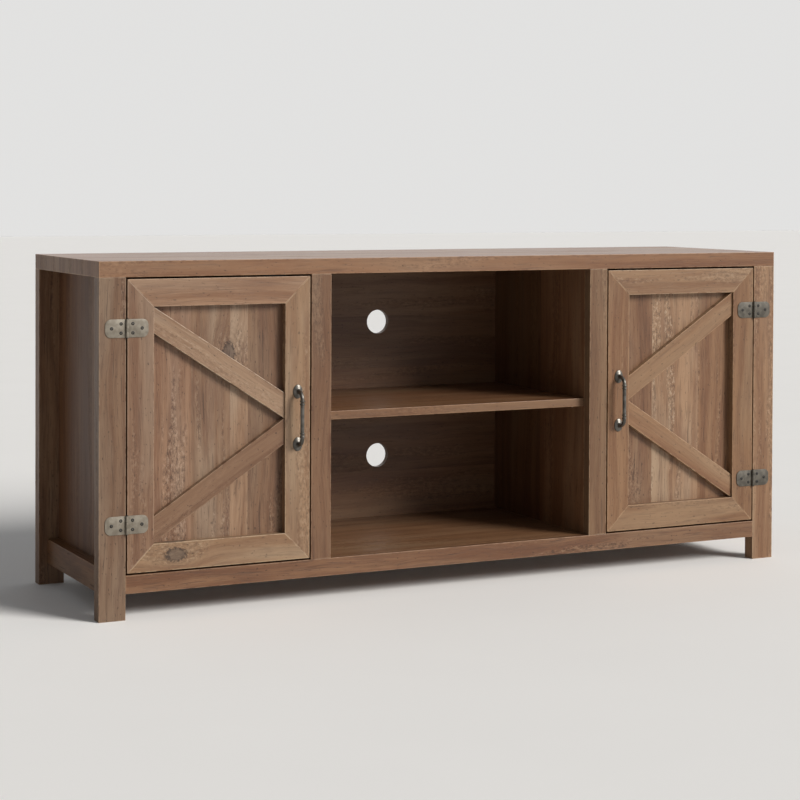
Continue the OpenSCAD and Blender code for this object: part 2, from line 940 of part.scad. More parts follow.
handle_stile(1);  // door_right_handle_stile
top_rail(1);  // door_right_top_rail
bottom_rail(1);  // door_right_bottom_rail
door_panel(1);  // door_right_panel
batten(1, true);  // door_right_upper_batten
batten(1, false);  // door_right_lower_batten
door_handle(1);  // door_right_handle
handle_screws(1);  // door_right_handle_screws
strike_plate(1);  // door_right_strike
door_hinge_leaves(1);  // door_right_hinge_leaves
door_hinge_screws(1);  // door_right_hinge_screws
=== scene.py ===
import math
import random

import bmesh
import bpy
from mathutils import Matrix, Vector


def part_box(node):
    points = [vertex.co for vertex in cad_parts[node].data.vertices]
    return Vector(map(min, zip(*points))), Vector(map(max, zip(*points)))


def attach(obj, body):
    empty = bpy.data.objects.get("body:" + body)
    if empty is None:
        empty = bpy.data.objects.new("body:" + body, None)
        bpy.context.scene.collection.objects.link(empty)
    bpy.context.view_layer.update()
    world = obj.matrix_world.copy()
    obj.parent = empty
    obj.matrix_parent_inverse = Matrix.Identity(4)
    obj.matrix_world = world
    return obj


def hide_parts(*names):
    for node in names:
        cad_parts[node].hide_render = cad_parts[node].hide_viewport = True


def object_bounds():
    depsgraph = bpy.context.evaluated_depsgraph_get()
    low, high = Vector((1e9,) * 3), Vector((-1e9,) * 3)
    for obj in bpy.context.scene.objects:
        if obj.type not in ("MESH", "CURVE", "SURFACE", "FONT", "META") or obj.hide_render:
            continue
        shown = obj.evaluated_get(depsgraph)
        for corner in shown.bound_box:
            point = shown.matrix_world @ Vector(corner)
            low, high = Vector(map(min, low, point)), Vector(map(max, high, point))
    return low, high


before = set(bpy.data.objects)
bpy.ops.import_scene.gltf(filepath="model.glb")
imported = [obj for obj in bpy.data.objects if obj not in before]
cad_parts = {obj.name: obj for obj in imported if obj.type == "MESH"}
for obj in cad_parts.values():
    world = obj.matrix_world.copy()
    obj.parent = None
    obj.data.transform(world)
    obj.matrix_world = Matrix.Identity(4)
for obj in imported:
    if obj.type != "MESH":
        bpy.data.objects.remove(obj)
cad_box = [list(corner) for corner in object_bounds()]


# ---- Camera ----
# A level view from the left of the stand, a little above its top. The lens is long, so the
# long front keeps its shape.
CAMERA_PLACE = Vector((-1.8268, -3.5682, 0.7806))
CAMERA_YAW = math.radians(26.489)
CAMERA_PITCH = math.radians(-1.126)
CAMERA_ROLL = math.radians(0.242)
LENS = 89.36
VIEW_SHIFT = -0.22

camera = bpy.data.objects.new("camera", bpy.data.cameras.new("camera"))
bpy.context.scene.collection.objects.link(camera)
camera.data.lens = LENS
camera.data.sensor_width = 36.0
camera.data.shift_y = VIEW_SHIFT
camera.data.clip_end = 60.0
camera.matrix_world = (
    Matrix.Translation(CAMERA_PLACE)
    @ Matrix.Rotation(-CAMERA_YAW, 4, "Z")
    @ Matrix.Rotation(math.radians(90) + CAMERA_PITCH, 4, "X")
    @ Matrix.Rotation(CAMERA_ROLL, 4, "Z")
)
bpy.context.scene.camera = camera
bpy.context.scene.view_settings.view_transform = "Standard"


# ---- Finishes: how every material is put together ----
# Wire makes sums on sockets read as sums. Finish holds one material and adds its nodes.
class Wire:
    def __init__(self, finish, socket):
        self.finish = finish
        self.socket = socket

    def math(self, operation, *others):
        values = {0: self}
        values.update({1 + place: other for place, other in enumerate(others)})
        return self.finish.node("ShaderNodeMath", {"operation": operation}, values)

    def __add__(self, other):
        return self.math("ADD", other)

    def __sub__(self, other):
        return self.math("SUBTRACT", other)

    def __rsub__(self, other):
        return self.finish.node("ShaderNodeMath", {"operation": "SUBTRACT"}, {0: other, 1: self})

    def __mul__(self, other):
        return self.math("MULTIPLY", other)

    def step(self, low, high):
        """0 below low and 1 above high, with a smooth rise between them."""
        settings = {"interpolation_type": "SMOOTHSTEP"}
        values = {"Value": self, "From Min": low, "From Max": high}
        return self.finish.node("ShaderNodeMapRange", settings, values)

    __radd__ = __add__
    __rmul__ = __mul__


class Finish:
    def __init__(self, name):
        self.material = bpy.data.materials.new(name)
        self.material.use_nodes = True
        self.tree = self.material.node_tree
        self.shader = self.tree.nodes["Principled BSDF"]

    def put(self, socket, value):
        if isinstance(value, Wire):
            self.tree.links.new(value.socket, socket)
        elif isinstance(value, tuple) and socket.type == "RGBA":
            socket.default_value = (*value, 1.0)
        else:
            socket.default_value = value

    def node(self, kind, settings=None, values=None, out=0):
        made = self.tree.nodes.new(kind)
        for name, setting in (settings or {}).items():
            setattr(made, name, setting)
        for key, value in (values or {}).items():
            self.put(made.inputs[key], value)
        return Wire(self, made.outputs[out])

    def noise(self, place, size, detail=3.0, rough=0.55, warp=0.0):
        values = {"Vector": place, "Scale": size, "Detail": detail, "Roughness": rough, "Distortion": warp}
        return self.node("ShaderNodeTexNoise", {"noise_dimensions": "2D"}, values)

    def stretch(self, place, along, across):
        values = {0: place, 1: (along, across, 1.0)}
        return self.node("ShaderNodeVectorMath", {"operation": "MULTIPLY"}, values)

    def mix(self, factor, first, second, blend="MIX"):
        """Colour first, going over to colour second as factor goes from 0 to 1."""
        settings = {"data_type": "RGBA", "blend_type": blend}
        return self.node("ShaderNodeMix", settings, {0: factor, 6: first, 7: second}, out=2)

    def surface(self, **values):
        for name, value in values.items():
            self.put(self.shader.inputs[name.replace("_", " ")], value)

    def bump(self, height, strength, distance):
        values = {"Height": height, "Strength": strength, "Distance": distance}
        self.surface(Normal=self.node("ShaderNodeBump", None, values, out="Normal"))


# ---- Oak laminate ----
# Chipboard under a printed rustic oak foil, pressed with a fine matt grain. Each board carries a
# map along and across its grain, its own tint, how far each point is from its knot and its edges,
# and how strongly it is figured, in the tint's alpha.
def oak_laminate():
    oak = Finish("rustic_oak")
    place = oak.node("ShaderNodeUVMap", {"uv_map": "grain"})
    tint = oak.node("ShaderNodeAttribute", {"attribute_name": "tint"}, out="Color")
    rim_a = oak.node("ShaderNodeUVMap", {"uv_map": "rim_a"})
    rim_b = oak.node("ShaderNodeUVMap", {"uv_map": "rim_b"})

    # A knot is an oval place that the grain flows round, on the boards that have one
    figure = oak.node("ShaderNodeAttribute", {"attribute_name": "tint"}, out="Alpha")
    knot_place = oak.node("ShaderNodeUVMap", {"uv_map": "knot"})
    ragged = oak.noise(knot_place, 105.0, 3.0, 0.65)
    squashed = oak.stretch(knot_place, 0.62, 1.0)
    oval = oak.node("ShaderNodeVectorMath", {"operation": "LENGTH"}, {0: squashed}, out="Value")
    knot_radius = 0.012
    knot_far = oval + (ragged - 0.5) * 0.012
    near_knot = 1.0 - knot_far.step(knot_radius, 0.055)
    knot_core = 1.0 - knot_far.step(0.008, knot_radius)
    from_rim = (knot_far - knot_radius).math("ABSOLUTE")
    knot_rim = (1.0 - from_rim.step(0.0008, 0.0036)) * ragged.step(0.38, 0.52)
    ring_wave = (knot_far * 900.0).math("SINE") * 0.5 + 0.5

    # The grain, bent sideways by slow noise and by the knots
    drift = oak.noise(oak.stretch(place, 2.6, 7.0), 1.0, 2.0)
    bend = (drift - 0.5) * 0.030 + near_knot * 0.012
    shift = oak.node("ShaderNodeCombineXYZ", None, {"Y": bend})
    grain = oak.node("ShaderNodeVectorMath", {"operation": "ADD"}, {0: place, 1: shift})

    clouds = oak.noise(oak.stretch(grain, 1.7, 13.0), 1.0, 3.0, 0.55)
    bands = oak.noise(oak.stretch(grain, 1.5, 46.0), 1.0, 4.0, 0.62)
    streaks = oak.noise(oak.stretch(grain, 6.0, 150.0), 1.0, 4.0, 0.66)
    blotches = oak.noise(oak.stretch(grain, 5.5, 38.0), 1.0, 4.0, 0.62)
    fibres = oak.noise(oak.stretch(grain, 34.0, 900.0), 1.0, 3.0, 0.6)
    pores = oak.noise(oak.stretch(grain, 22.0, 420.0), 1.0, 2.0, 0.5)
    pore_mask = pores.step(0.60, 0.72)

    # Rough-sawn places: short marks across the grain, and pale and dark flecks
    worn = oak.noise(oak.stretch(grain, 1.8, 21.0), 1.0, 3.0, 0.6)
    worn = (worn + near_knot * 0.16).step(0.55, 0.63) * figure
    chatter = oak.noise(oak.stretch(place, 85.0, 190.0), 1.0, 3.0, 0.8)
    fleck_dark = chatter.step(0.54, 0.60) * worn
    fleck_pale = (1.0 - chatter.step(0.38, 0.45)) * worn
    checks = oak.noise(oak.stretch(grain, 9.0, 250.0), 1.0, 2.0, 0.5).step(0.675, 0.74) * figure
    specks = oak.noise(oak.stretch(place, 110.0, 240.0), 1.0, 1.0, 0.5).step(0.735, 0.78)

    # The print, laid down in layers: each share of a shade covers what is under it
    brown, tan = (0.150, 0.075, 0.038), (0.222, 0.130, 0.073)
    grey, straw = (0.245, 0.168, 0.108), (0.31, 0.21, 0.135)
    russet, umber, pore_brown = (0.118, 0.058, 0.034), (0.072, 0.036, 0.020), (0.050, 0.026, 0.015)
    sawn_pale, sawn_dark = (0.34, 0.25, 0.17), (0.040, 0.022, 0.014)
    crack, speck, ring_brown = (0.030, 0.015, 0.009), (0.032, 0.018, 0.011), (0.062, 0.032, 0.018)
    knot_grey, knot_black = (0.075, 0.050, 0.036), (0.032, 0.018, 0.012)
    colour = oak.mix(bands.step(0.34, 0.66), brown, tan)
    for share, shade in (
        (clouds.step(0.47, 0.72) * 0.75, grey),
        (blotches.step(0.48, 0.70) * figure * 0.50, russet),
        (streaks.step(0.48, 0.70) * figure * 0.36, umber),
        (fibres.step(0.50, 0.66) * 0.16, straw),
        (pore_mask * figure * 0.34, pore_brown),
        (fleck_pale * 0.50, sawn_pale),
        (fleck_dark * 0.60, sawn_dark),
        (checks * 0.55, crack),
        (specks * 0.55, speck),
        (near_knot * ring_wave * 0.26, ring_brown),
        (knot_core * 0.72, knot_grey),
        (knot_rim * 0.90, knot_black),
    ):
        colour = oak.mix(share, colour, shade)

    # Board edges: paler along every arris, with a break here and there; partly rubbed wear, partly a painted
    # edge highlight
    def smallest(rim):
        x = oak.node("ShaderNodeSeparateXYZ", None, {0: rim}, out="X")
        y = oak.node("ShaderNodeSeparateXYZ", None, {0: rim}, out="Y")
        return x.math("MINIMUM", y)

    edge_wear_and_highlight_colour = (0.34, 0.235, 0.15)
    inwards = smallest(rim_a).math("MINIMUM", smallest(rim_b))
    edge_wear_and_highlight_break = oak.noise(oak.stretch(place, 60.0, 60.0), 1.0, 3.0).step(0.36, 0.52)
    edge_wear_and_highlight = (1.0 - inwards.step(0.0004, 0.0022)) * edge_wear_and_highlight_break
    colour = oak.mix(edge_wear_and_highlight * 0.70, colour, edge_wear_and_highlight_colour)
    colour = oak.mix(1.0, colour, tint, "MULTIPLY")

    height = (1.0 - pore_mask) * 0.5 + (1.0 - checks) * 0.6 + fibres * 0.25 + chatter * worn * 0.5
    oak.bump(height, 0.30, 0.0006)
    gloss = 0.37 + fibres * 0.12 + worn * 0.10 + checks * 0.15
    oak.surface(Base_Color=colour, Roughness=gloss, Specular_IOR_Level=0.35)
    return oak.material


rustic_oak = oak_laminate()


def ring(centre, radius, start, end, steps):
    """Points on an arc, from one angle in degrees to another."""
    turns = [math.radians(start + (end - start) * k / steps) for k in range(steps + 1)]
    return [(centre[0] + radius * math.cos(t), centre[1] + radius * math.sin(t)) for t in turns]


ROUND_SIDES = 24


def circle(centre, radius):
    return ring(centre, radius, 0, 360 - 360 / ROUND_SIDES, ROUND_SIDES - 1)


def prism(mesh, outline, near, far, axis=1):
    """Adds a solid whose outline is drawn across one axis, from near to far along it."""
    def corner(point, depth):
        spread = list(point)
        spread.insert(axis, depth)
        return mesh.verts.new(spread)

    front = [corner(p, near) for p in outline]
    back = [corner(p, far) for p in outline]
    faces = [mesh.faces.new(front), mesh.faces.new(back[::-1])]
    for k, vertex in enumerate(front):
        after = (k + 1) % len(front)
        faces.append(mesh.faces.new((vertex, back[k], back[after], front[after])))
    bmesh.ops.recalc_face_normals(mesh, faces=faces)
    return faces


def ease(mesh, width, segments=2, corner=35, shortest=0.0):
    """Rounds every outer edge that turns sharply, but leaves the short edges round a bore."""
    sharp = [edge for edge in mesh.edges if edge.is_convex and edge.calc_length() > shortest
             and edge.calc_face_angle(0) > math.radians(corner)]
    bmesh.ops.bevel(mesh, geom=sharp, offset=width, segments=segments, profile=0.6,
                    affect="EDGES", clamp_overlap=True)


def hang_piece(name, data, body, nodes):
    """Puts a made mesh in the scene, on its body, in place of the nodes it stands for."""
    piece = bpy.data.objects.new(name, data)
    bpy.context.scene.collection.objects.link(piece)
    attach(piece, body)
    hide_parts(*nodes)
    return piece


def finish_piece(mesh, name, material, body, nodes, smooth=False):
    data = bpy.data.meshes.new(name)
    mesh.to_mesh(data)
    mesh.free()
    data.materials.append(material)
    if smooth:
        data.shade_smooth()
        data.set_sharp_from_angle(angle=math.radians(35))
    return hang_piece(name, data, body, nodes)


# ---- Boards ----
# Every board is cut from laminated chipboard and edged with the same foil. Its arrises are just
# broken. A board can be printed as planks of different tone, side by side across its grain.
ARRIS = 0.0007
LONGEST_BORE_EDGE = 0.009
WELD, FLAT = 1e-6, math.radians(1)
NO_KNOT = Vector((50.0, 50.0, 50.0))
chance = random.Random(58)


def unit(axis):
    return Vector([1.0 if k == axis else 0.0 for k in range(3)])


def edge_gap(spot, outline, side):
    """How far a point lies inside one side of a four-sided outline."""
    a, b = Vector(outline[side]), Vector(outline[(side + 1) % 4])
    middle = sum((Vector(p) for p in outline), Vector((0, 0))) / 4
    run = (b - a).normalized()
    normal = Vector((-run.y, run.x))
    if (middle - a).dot(normal) < 0:
        normal = -normal
    return (Vector((spot.x, spot.z)) - a).dot(normal)


def board(node, body, shades, grain=0, outline=None, cuts=None, direction=None,
          figure=1.0, knot=None):
    """One board, with a shade for each of its planks. The knot is a share of its width and height."""
    low, high = (Vector(corner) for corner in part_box(node))
    size = high - low
    if outline is None:
        outline = [(low.x, low.z), (high.x, low.z), (high.x, high.z), (low.x, high.z)]
    mesh = bmesh.new()
    mesh.from_mesh(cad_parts[node].data)
    bmesh.ops.remove_doubles(mesh, verts=mesh.verts[:], dist=WELD)
    bmesh.ops.dissolve_limit(mesh, angle_limit=FLAT, verts=mesh.verts[:], edges=mesh.edges[:])
    ease(mesh, ARRIS, shortest=LONGEST_BORE_EDGE)

    across = max((axis for axis in range(3) if axis != grain), key=lambda axis: size[axis])
    cuts = cuts or [(k + 1) / len(shades) for k in range(len(shades) - 1)]
    for cut in cuts:
        everything = mesh.verts[:] + mesh.edges[:] + mesh.faces[:]
        bmesh.ops.bisect_plane(mesh, geom=everything, plane_co=low.lerp(high, cut),
                               plane_no=unit(across), dist=WELD)

    starts = [(chance.uniform(0, 40), chance.uniform(0, 40)) for shade in shades]
    maps = {name: mesh.loops.layers.uv.new(name) for name in ("grain", "knot", "rim_a", "rim_b")}
    tints = mesh.loops.layers.float_color.new("tint")
    heart = low.lerp(high, 0.5) + NO_KNOT
    if knot:
        heart = Vector((low.x + size.x * knot[0], low.y + size.y * 0.5, low.z + size.z * knot[1]))
    for face in mesh.faces:
        facing = max(range(3), key=lambda axis: abs(face.normal[axis]))
        share = (face.calc_center_median()[across] - low[across]) / size[across]
        plank = sum(share > cut for cut in cuts)
        if direction:
            run, side = direction, Vector((-direction.z, 0.0, direction.x))
        else:
            flat = [axis for axis in range(3) if axis not in (facing, grain)]
            run, side = unit(flat[1] if facing == grain else grain), unit(flat[0])
        for loop in face.loops:
            spot = loop.vert.co
            loop[maps["grain"]].uv = (spot.dot(run) + starts[plank][0], spot.dot(side) + starts[plank][1])
            loop[maps["knot"]].uv = ((spot - heart).dot(run), (spot - heart).dot(side))
            if abs(face.normal[facing]) < 0.99:
                gaps = [0.0] * 4
            elif facing == 1:
                gaps = [edge_gap(spot, outline, k) for k in range(4)]
            else:
                gaps = [g for a in range(3) if a != facing for g in (spot[a] - low[a], high[a] - spot[a])]
            loop[maps["rim_a"]].uv = gaps[:2]
            loop[maps["rim_b"]].uv = gaps[2:]
            loop[tints] = (*shades[plank], figure)
    return finish_piece(mesh, "oak_" + node, rustic_oak, body, [node])


# ---- Top slab ----
# One thick board over everything, printed as long planks running the full width. Its print, like
# that of all the large boards, is calmer than the doors'.
PLAIN_FIGURE = 0.55
board("top_slab", "case", grain=0, figure=PLAIN_FIGURE,
      shades=((0.90, 0.76, 0.66), (0.98, 0.90, 0.84), (0.84, 0.72, 0.62), (0.98, 0.88, 0.80),
              (0.90, 0.80, 0.72)))

# ---- Posts, rails and floor ----
# Four posts run down past the rails as legs. The rails and the floor are dowelled between them.
POST_FIGURE = 0.8
# Painted light and shade: the left front post is tinted darker and the right one lighter, for the main light
# falling off towards the left.
board("post_front_left", "case", grain=2, shades=((0.76, 0.75, 0.76),), figure=POST_FIGURE)
board("post_front_right", "case", grain=2, shades=((1.16, 1.14, 1.10),), figure=POST_FIGURE)
board("post_rear_left", "case", grain=2, shades=((0.903, 0.847, 0.800),))
board("post_rear_right", "case", grain=2, shades=((0.92, 0.92, 0.92),))
board("front_rail", "case", grain=0, shades=((0.78, 0.66, 0.58),))
board("side_rail_left", "case", grain=1, shades=((0.78, 0.62, 0.48),))
board("side_rail_right", "case", grain=1, shades=((0.80, 0.64, 0.50),))
board("bottom_panel", "case", grain=0, figure=PLAIN_FIGURE,
      shades=((0.88, 0.78, 0.68), (0.92, 0.84, 0.76), (0.84, 0.74, 0.64), (0.90, 0.82, 0.74)))

# ---- Side panels, partitions and stiles ----
# The side panels are printed as upright planks, tinted much darker as a painted shade of the sides.
# Each partition has one join in its middle, and a solid stile covers its front edge.
# Painted shade: the side panels' planks are tinted far darker than the front boards.
SIDE_PLANKS_IN_PAINTED_SHADE = tuple((0.76 * k, 0.58 * k, 0.44 * k) for k in (0.76, 0.86, 0.74, 0.83, 0.79))
board("side_panel_left", "case", grain=2, shades=SIDE_PLANKS_IN_PAINTED_SHADE, figure=PLAIN_FIGURE)
board("side_panel_right", "case", grain=2, shades=SIDE_PLANKS_IN_PAINTED_SHADE[::-1], figure=PLAIN_FIGURE)
for side in ("left", "right"):
    board("partition_" + side, "case", grain=2, shades=((0.88, 0.74, 0.62), (0.58, 0.48, 0.38)),
          cuts=[0.47], figure=PLAIN_FIGURE)
board("bay_stile_left", "case", grain=2, shades=((0.72, 0.64, 0.59),), figure=PLAIN_FIGURE)
board("bay_stile_right", "case", grain=2, shades=((0.80, 0.78, 0.73),), figure=PLAIN_FIGURE)

# ---- Shelves ----
# Loose boards that rest on steel pins, one in the open bay and one behind each door. They are
# printed as three planks.
for side in ("left", "center", "right"):
    board("shelf_" + side, "case", grain=0, figure=PLAIN_FIGURE,
          shades=((0.73, 0.61, 0.50), (0.68, 0.57, 0.48), (0.72, 0.61, 0.51)))

# ---- Back panels ----
# Three thick boards close the back. The middle one has two round holes for cables, and all are
# screwed into the partitions, the floor and the rear posts.
BACK_PLANKS = tuple((0.84 * k, 0.70 * k, 0.58 * k) for k in (0.94, 0.82, 0.90, 0.78, 0.92))
for side in ("left", "right", "center"):
    board("back_panel_" + side, "case", grain=0, shades=BACK_PLANKS, figure=PLAIN_FIGURE)

# ---- Doors ----
# Four flat boards are mitred into a frame, a thin panel printed as upright planks closes it, and
# two battens run from the hinge-side corners to the middle of the handle side.
BATTEN_WIDTH = 0.040
BATTEN_FIGURE, FRAME_FIGURE, PANEL_FIGURE = 0.35, 0.60, 0.90
DOOR_TONES = {
    "left": {
        "hinge_stile": (0.90, 0.88, 0.92), "handle_stile": (1.07, 1.08, 1.06),
        "top_rail": (1.09, 1.05, 1.06), "bottom_rail": (1.19, 1.25, 1.24),
        "upper_batten": (1.18, 1.28, 1.40), "lower_batten": (0.79, 0.74, 0.73),
        "panel": ((1.05, 1.02, 1.07), (1.00, 1.03, 1.09), (1.20, 1.26, 1.34), (0.79, 0.74, 0.72)),
        "cuts": (0.31, 0.59, 0.72),
        "knots": {"panel": (0.58, 0.78), "bottom_rail": (0.26, 0.55)},
    },
    "right": {
        "hinge_stile": (0.91, 0.82, 0.71), "handle_stile": (0.99, 0.91, 0.81),
        "top_rail": (1.12, 1.13, 1.10), "bottom_rail": (0.99, 0.91, 0.80),
        "upper_batten": (1.00, 0.90, 0.78), "lower_batten": (1.06, 0.99, 0.90),
        "panel": ((0.84, 0.75, 0.69), (1.30, 1.38, 1.43), (1.28, 1.30, 1.31), (1.00, 0.92, 0.84)),
        "cuts": (0.27, 0.48, 0.69),
        "knots": {},
    },
}


def batten_end(run, rise, width):
    """Height of the upright end cut that makes a slanting batten that wide."""
    cut = width
    for _ in range(30):
        cut = width * math.hypot(run, rise - cut) / run
    return cut


for side in ("left", "right"):
    body, prefix, shades = side + "_door", "door_" + side + "_", DOOR_TONES[side]
    hinge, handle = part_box(prefix + "hinge_stile"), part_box(prefix + "handle_stile")
    left, right = min(hinge[0][0], handle[0][0]), max(hinge[1][0], handle[1][0])
    foot, head = hinge[0][2], hinge[1][2]
    wide = hinge[1][0] - hinge[0][0]
    in_left, in_right, in_foot, in_head = left + wide, right - wide, foot + wide, head - wide
    upright = {
        "left": [(left, foot), (in_left, in_foot), (in_left, in_head), (left, head)],
        "right": [(right, foot), (in_right, in_foot), (in_right, in_head), (right, head)],
    }
    other = "right" if side == "left" else "left"
    for part, outline in (("hinge_stile", upright[side]), ("handle_stile", upright[other])):
        board(prefix + part, body, grain=2, shades=(shades[part],), outline=outline,
              figure=FRAME_FIGURE)
    board(prefix + "top_rail", body, grain=0, shades=(shades["top_rail"],), figure=FRAME_FIGURE,
          outline=[(left, head), (right, head), (in_right, in_head), (in_left, in_head)])
    board(prefix + "bottom_rail", body, grain=0, shades=(shades["bottom_rail"],),
          figure=FRAME_FIGURE, knot=shades["knots"].get("bottom_rail"),
          outline=[(left, foot), (right, foot), (in_right, in_foot), (in_left, in_foot)])
    board(prefix + "panel", body, grain=2, shades=shades["panel"], cuts=shades["cuts"],
          knot=shades["knots"].get("panel"), figure=PANEL_FIGURE)
    middle, rise = (foot + head) / 2, (in_head - in_foot) / 2
    cut = batten_end(in_right - in_left, rise, BATTEN_WIDTH)
    outer, inner = (in_left, in_right) if side == "left" else (in_right, in_left)
    for part, way in (("upper_batten", 1), ("lower_batten", -1)):
        outline = [(outer, middle + way * rise), (outer, middle + way * (rise - cut)),
                   (inner, middle), (inner, middle + way * cut)]
        slant = Vector((inner - outer, 0.0, -way * (rise - cut))).normalized()
        board(prefix + part, body, shades=(shades[part],), outline=outline, direction=slant,
              figure=BATTEN_FIGURE)


# ---- Metal and plastic finishes ----
# Hinges are pressed steel with a grey satin lacquer, handles are cast and antiqued, and hidden
# fixings are bright zinc, turned beech and black plastic.
def worn_metal(name, low, high, metallic, rough, scale=260.0):
    metal = Finish(name)
    place = metal.node("ShaderNodeTexCoord", out="Object")
    settings = {"noise_dimensions": "3D"}
    cloud = metal.node("ShaderNodeTexNoise", settings, {"Vector": place, "Scale": scale * 0.35, "Detail": 4.0})
    grit = metal.node("ShaderNodeTexNoise", settings, {"Vector": place, "Scale": scale * 6, "Detail": 3.0})
    pitted = tuple(part * 0.5 for part in low)
    colour = metal.mix(cloud.step(0.38, 0.64), low, high)
    colour = metal.mix(grit.step(0.60, 0.72) * 0.35, colour, pitted)
    gloss = cloud * 0.20 + (grit * 0.12 + (rough - 0.16))
    metal.surface(Base_Color=colour, Metallic=metallic, Roughness=gloss)
    metal.bump(grit * 0.6 + cloud, 0.18, 0.0002)
    return metal.material


# Painted light and shade: the left door's hinges get a lighter copy of the lacquer and the right door's a
# darker copy of the same lacquer, for how each catches the main light.
hinge_lit_and_shaded_lacquer = {
    "left": worn_metal("hinge_lacquer", (0.150, 0.128, 0.098), (0.205, 0.180, 0.142), 0.35, 0.46),
    "right": worn_metal("hinge_lacquer_painted_shade", (0.066, 0.058, 0.046), (0.104, 0.092, 0.074), 0.35, 0.46),
}
pewter = worn_metal("antique_pewter", (0.085, 0.078, 0.068), (0.140, 0.131, 0.117), 0.85, 0.36)
dark_steel = worn_metal("blackened_steel", (0.010, 0.009, 0.008), (0.022, 0.020, 0.018), 0.3, 0.62)
zinc = worn_metal("zinc_plate", (0.45, 0.45, 0.44), (0.66, 0.66, 0.64), 1.0, 0.30)
black_plastic = worn_metal("black_plastic", (0.014, 0.014, 0.015), (0.026, 0.026, 0.027), 0.0, 0.50, 700.0)
beech = worn_metal("turned_beech", (0.52, 0.35, 0.19), (0.66, 0.47, 0.28), 0.0, 0.60, 120.0)
HIDDEN = {"dowels": beech, "cam_locks": zinc, "cam_bolts": zinc, "shelf_pins": zinc, "catch_screws": zinc,
          "catch_left": black_plastic, "catch_right": black_plastic}
for side in ("left", "right"):
    HIDDEN["door_" + side + "_strike"] = zinc
    HIDDEN["door_" + side + "_handle_screws"] = zinc
for node, material in HIDDEN.items():
    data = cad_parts[node].data
    data.materials.clear()
    data.materials.append(material)

# ---- Hinges ----
# Two surface hinges a door: a leaf on the post with two knuckles, a leaf on the door with the
# middle one, and a pin with small heads. Leaves are stamped, so their rims are slightly round.
HINGE_HEIGHT = 0.033
KNUCKLE_GAP = 0.0003
KNUCKLE_RADIUS = 0.0027
LEAF_END_RADIUS = 0.011
LEAF_THICKNESS = 0.0014
LEAF_RIM = 0.0003
KNUCKLE_WEB = 0.0004
hinge_spots = {}
for side, hand in (("left", -1), ("right", 1)):
    pin_low, pin_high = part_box("hinge_pins_" + side)
    pin = Vector(((pin_low[0] + pin_high[0]) / 2, (pin_low[1] + pin_high[1]) / 2, 0))
    post_low, post_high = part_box("hinge_post_leaves_" + side)
    face = post_high[1]
    length = max(abs(post_low[0] - pin.x), abs(post_high[0] - pin.x))
    centres = (post_low[2] + HINGE_HEIGHT / 2, post_high[2] - HINGE_HEIGHT / 2)
    third = (HINGE_HEIGHT - 2 * KNUCKLE_GAP) / 3
    hinge_spots[side] = (pin, face, centres)
    inner = KNUCKLE_RADIUS + KNUCKLE_GAP
    round_x, half = length - LEAF_END_RADIUS, HINGE_HEIGHT / 2
    leaf = [(inner, -half), (inner, half)]
    leaf += ring((round_x, half - LEAF_END_RADIUS), LEAF_END_RADIUS, 90, 0, 10)
    leaf += ring((round_x, LEAF_END_RADIUS - half), LEAF_END_RADIUS, 0, -90, 10)
    post_knuckles = ((-half, third - half), (half - third, half))
    plan = (("hinge_post_leaves_" + side, "case", hand, post_knuckles),
            ("door_" + side + "_hinge_leaves", side + "_door", -hand, ((-third / 2, third / 2),)))
    for node, body, way, knuckles in plan:
        mesh = bmesh.new()
        for centre in centres:
            prism(mesh, [(pin.x + way * x, centre + z) for x, z in leaf], face - LEAF_THICKNESS, face)
            for low, high in knuckles:
                prism(mesh, circle(pin, KNUCKLE_RADIUS), centre + low, centre + high, axis=2)
                web_end = pin.x + way * (inner + KNUCKLE_WEB)
                web = [(pin.x, face - LEAF_THICKNESS), (web_end, face - LEAF_THICKNESS),
                       (web_end, face - KNUCKLE_GAP), (pin.x, face - KNUCKLE_GAP)]
                prism(mesh, web, centre + low, centre + high, axis=2)
        ease(mesh, LEAF_RIM)
        finish_piece(mesh, node + "_stamped", hinge_lit_and_shaded_lacquer[side], body, [node], smooth=True)

    mesh = bmesh.new()
    head_height = (pin_high[2] - pin_low[2] - (centres[1] - centres[0]) - HINGE_HEIGHT) / 2
    for centre in centres:
        for way in (-1, 1):
            ends = sorted((centre + way * half, centre + way * (half + head_height)))
            prism(mesh, circle(pin, (pin_high[0] - pin_low[0]) / 2), *ends, axis=2)
    ease(mesh, head_height * 0.45, segments=3)
    finish_piece(mesh, "hinge_pin_heads_" + side, dark_steel, "case",
                 ["hinge_pins_" + side], smooth=True)


